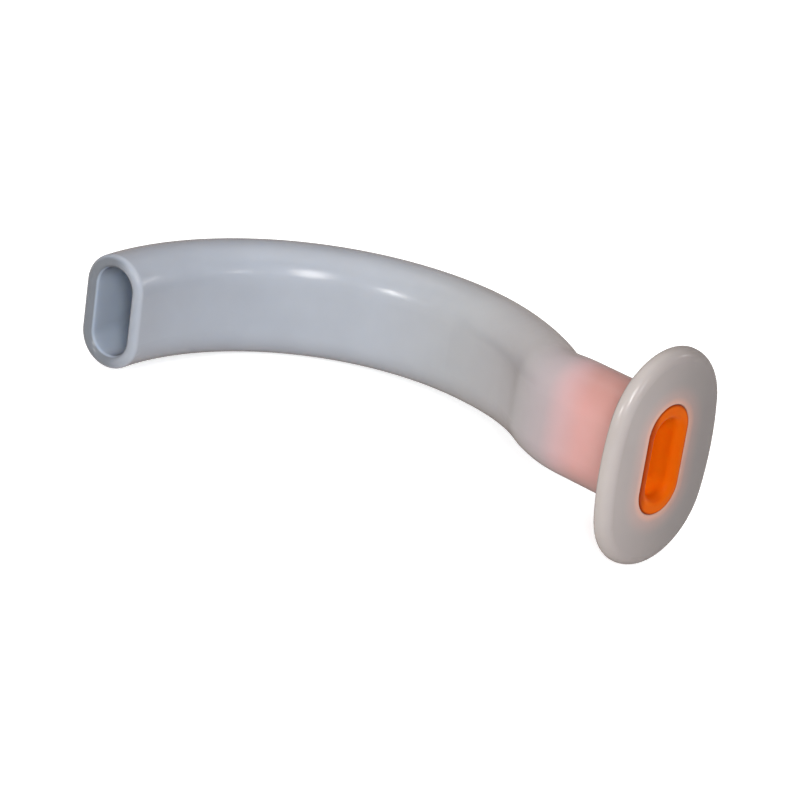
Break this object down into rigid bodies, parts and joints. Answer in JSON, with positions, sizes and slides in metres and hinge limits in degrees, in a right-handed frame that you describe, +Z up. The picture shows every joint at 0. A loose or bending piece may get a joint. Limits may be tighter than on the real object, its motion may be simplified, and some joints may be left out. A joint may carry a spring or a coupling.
{
  "type": "oropharyngeal airway",
  "caption": "Curved hollow airway tube of soft milky plastic with an oval flange, and a hard orange bite block set in its mouth, lying on its side",
  "frame": {"origin": "on the table, under the centre of the part's bounding box", "axes": "+Z up off the table; +X out of the mouth opening, level; the long curve and the tip turn to -Y; the part lies on its side as it comes to rest, on the flange's rim and the side of the tube"},
  "size_m": [0.0924, 0.053, 0.0355],
  "materials": {
    "milky_body": "translucent milky polyethylene, satin gloss",
    "orange_block": "opaque orange polypropylene, satin gloss"
  },
  "bodies": {
    "root": {"airway_body": "milky_body", "bite_block": "orange_block"}
  },
  "joints": []
}
